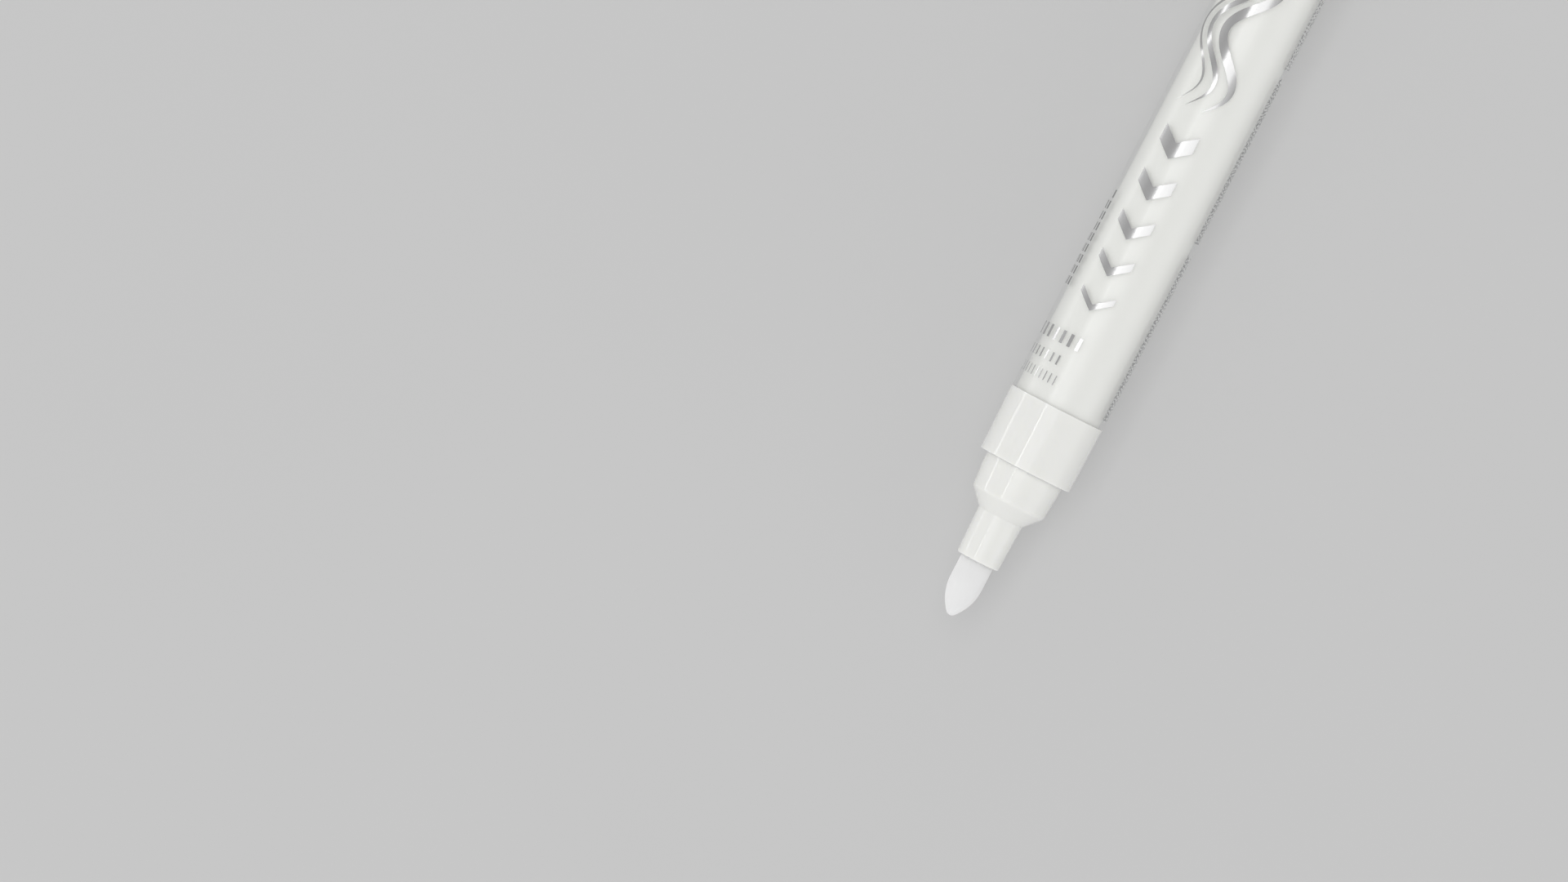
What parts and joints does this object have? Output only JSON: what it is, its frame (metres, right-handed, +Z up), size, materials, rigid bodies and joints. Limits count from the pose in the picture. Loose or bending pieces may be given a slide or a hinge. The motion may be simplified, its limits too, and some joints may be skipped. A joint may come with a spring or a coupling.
{
  "type": "liquid chalk marker",
  "caption": "Liquid chalk marker with a clear barrel over a white ink tube, a stepped white front end and a bullet nib that presses back to open a spring valve.",
  "frame": {"origin": "ground point under the middle of the marker's length, with the marker lying on its side", "axes": "+X along the marker's axis, from the nib to the rear end; +Z up"},
  "size_m": [0.132, 0.015, 0.0151],
  "materials": {
    "clear_plastic": "polished clear plastic",
    "tube_plastic": "satin white plastic",
    "white_plastic": "glossy moulded white plastic",
    "nib_fibre": "bonded white fibre",
    "buffer_felt": "soft felt",
    "seal_rubber": "soft dark rubber",
    "valve_plastic": "natural moulded plastic",
    "spring_steel": "drawn wire",
    "ball_steel": "polished"
  },
  "bodies": {
    "marker_body": {"outer_barrel": "clear_plastic", "ink_tube": "tube_plastic", "rear_plug": "white_plastic", "rear_seal_ring": "seal_rubber", "collar": "white_plastic", "front_seal_ring": "seal_rubber", "nib_holder": "white_plastic", "ink_buffer": "buffer_felt", "valve_seat": "seal_rubber", "valve_cage": "valve_plastic", "valve_spring": "spring_steel"},
    "writing_nib": {"nib": "nib_fibre"},
    "valve_plunger": {"valve_stem": "valve_plastic"},
    "mixing_ball": {"agitator_ball": "ball_steel"}
  },
  "joints": [
    {"name": "nib_press", "type": "slide", "parent": "marker_body", "child": "writing_nib", "axis": [1, 0, 0], "range_m": [0, 0.0025], "stiffness_N_per_m": 500, "springref_m": -0.002},
    {"name": "stem_slide", "type": "slide", "parent": "marker_body", "child": "valve_plunger", "axis": [1, 0, 0], "range_m": [0, 0.0025], "deforming": ["valve_spring"]},
    {"name": "ball_run", "type": "slide", "parent": "marker_body", "child": "mixing_ball", "axis": [1, 0, 0], "range_m": [0, 0.0635]}
  ],
  "couplings": [
    {"joint": "stem_slide", "follows": "nib_press", "ratio": 1}
  ]
}
